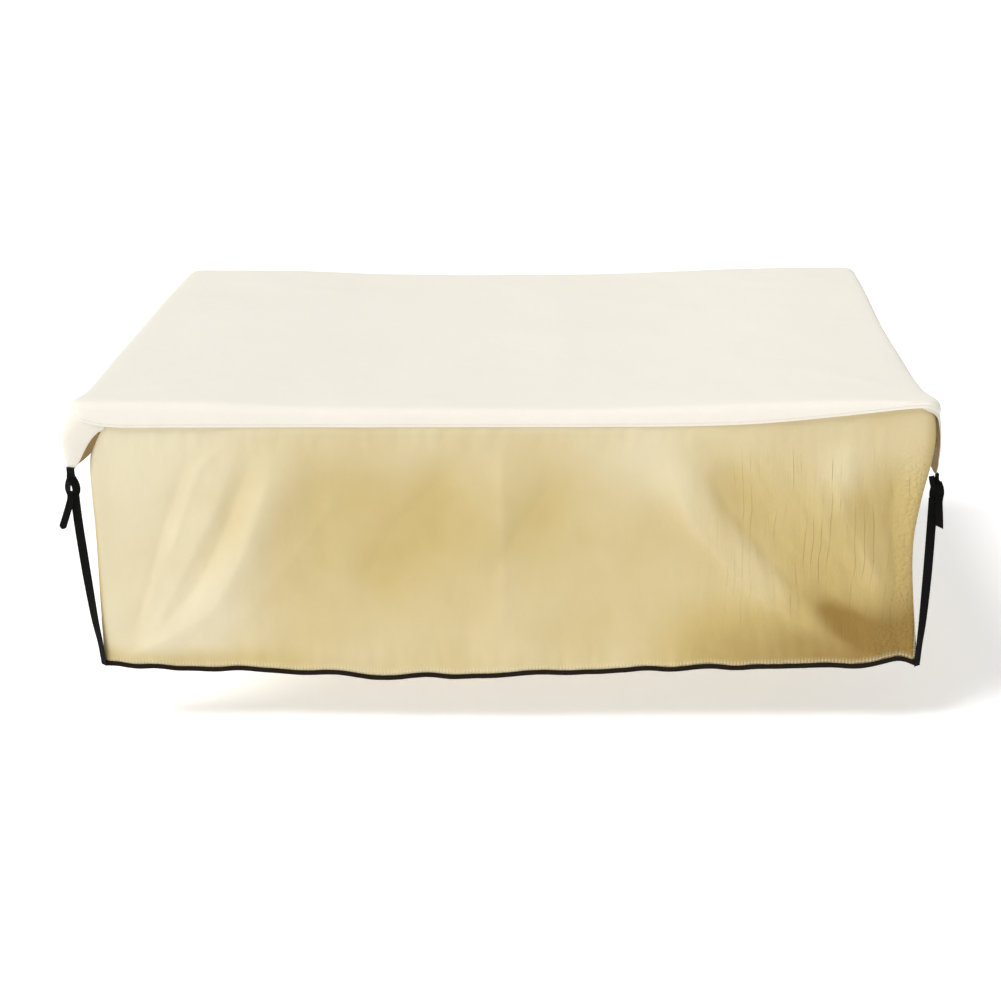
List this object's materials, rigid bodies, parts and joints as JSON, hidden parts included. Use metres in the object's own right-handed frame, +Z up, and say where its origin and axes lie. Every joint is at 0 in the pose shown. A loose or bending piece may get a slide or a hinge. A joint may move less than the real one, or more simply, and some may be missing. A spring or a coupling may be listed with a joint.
{
  "type": "patio table cover",
  "caption": "Fitted fabric cover for a rectangular patio table: cream top, short side flaps, long tan skirts with a dark bound hem, and webbing corner ties.",
  "frame": {"origin": "middle of the top's underside, where it lies on the table", "axes": "+X along the cover's long side, to the right as seen from the front; -Y towards the front skirt; +Z up"},
  "size_m": [1.9518, 1.402, 0.6493],
  "materials": {
    "cream_cloth": "matt coated polyester weave",
    "tan_cloth": "matt coated polyester weave",
    "binding_tape": "dark brown ribbed tape, stitched",
    "webbing": "black woven webbing"
  },
  "bodies": {
    "root": {"top_panel": "cream_cloth", "left_flap": "cream_cloth", "right_flap": "cream_cloth", "front_skirt": "tan_cloth", "back_skirt": "tan_cloth", "front_hem_binding": "binding_tape", "back_hem_binding": "binding_tape", "front_left_tab": "webbing", "front_left_knot": "webbing", "front_left_strap": "webbing", "front_left_tail": "webbing", "front_right_tab": "webbing", "front_right_knot": "webbing", "front_right_strap": "webbing", "front_right_tail": "webbing", "back_left_tab": "webbing", "back_left_knot": "webbing", "back_left_strap": "webbing", "back_left_tail": "webbing", "back_right_tab": "webbing", "back_right_knot": "webbing", "back_right_strap": "webbing", "back_right_tail": "webbing"}
  },
  "joints": []
}
